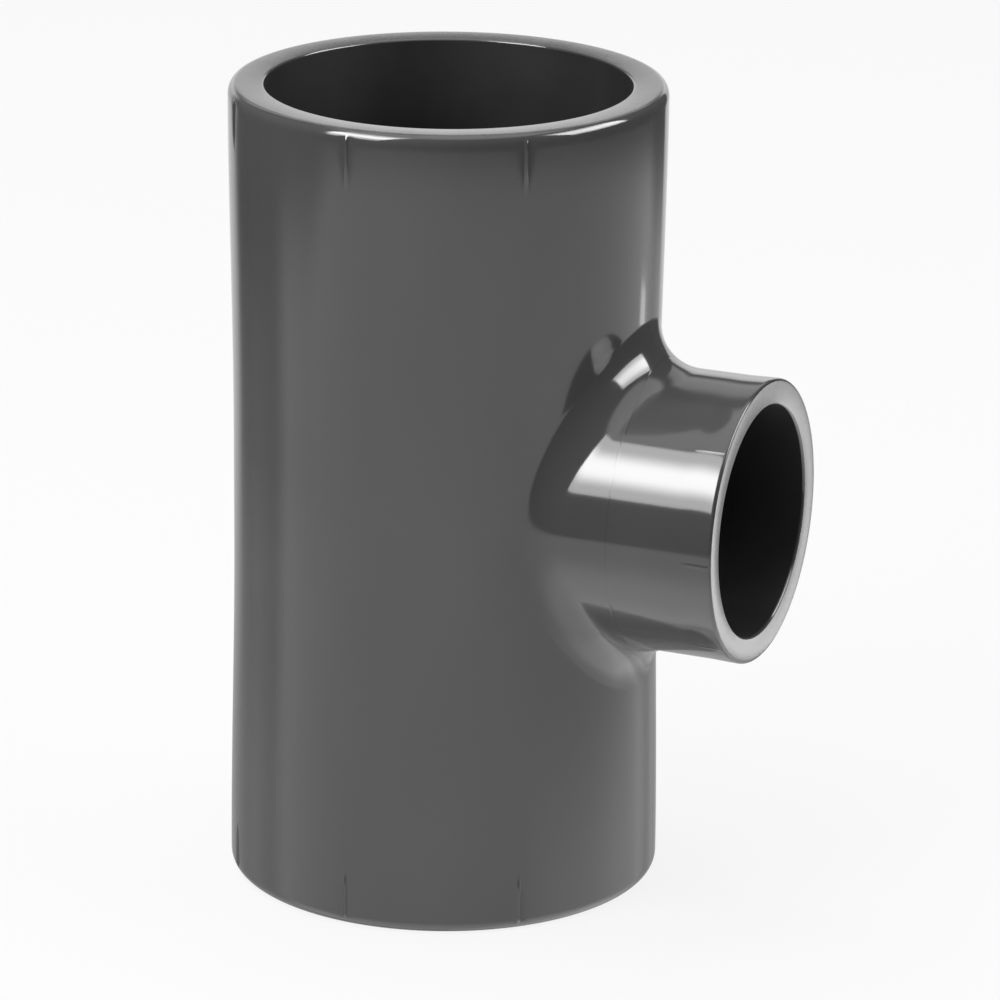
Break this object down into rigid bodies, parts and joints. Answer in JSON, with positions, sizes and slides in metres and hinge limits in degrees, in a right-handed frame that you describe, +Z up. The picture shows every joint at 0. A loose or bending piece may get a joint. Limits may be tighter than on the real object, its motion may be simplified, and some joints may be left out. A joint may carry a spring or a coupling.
{
  "type": "pvc reducing tee fitting",
  "caption": "Dark grey moulded tee for solvent-cement pressure pipe: a straight run with a socket at each end and a smaller socket square to its middle.",
  "frame": {"origin": "middle of the base of the part's outer box, in the plane of the lower run mouth; the run's axis is parallel to Z at x = -0.01085 m, y = 0", "axes": "+Z up along the run, +X from the run towards the branch mouth"},
  "size_m": [0.0974, 0.0758, 0.142],
  "materials": {
    "grey_pvc": "moulded PVC-U in dark grey: polished outside with soft flow unevenness, cut-smooth lighter-looking mouth faces, satin bores"
  },
  "bodies": {
    "root": {"tee_body": "grey_pvc"}
  },
  "joints": []
}
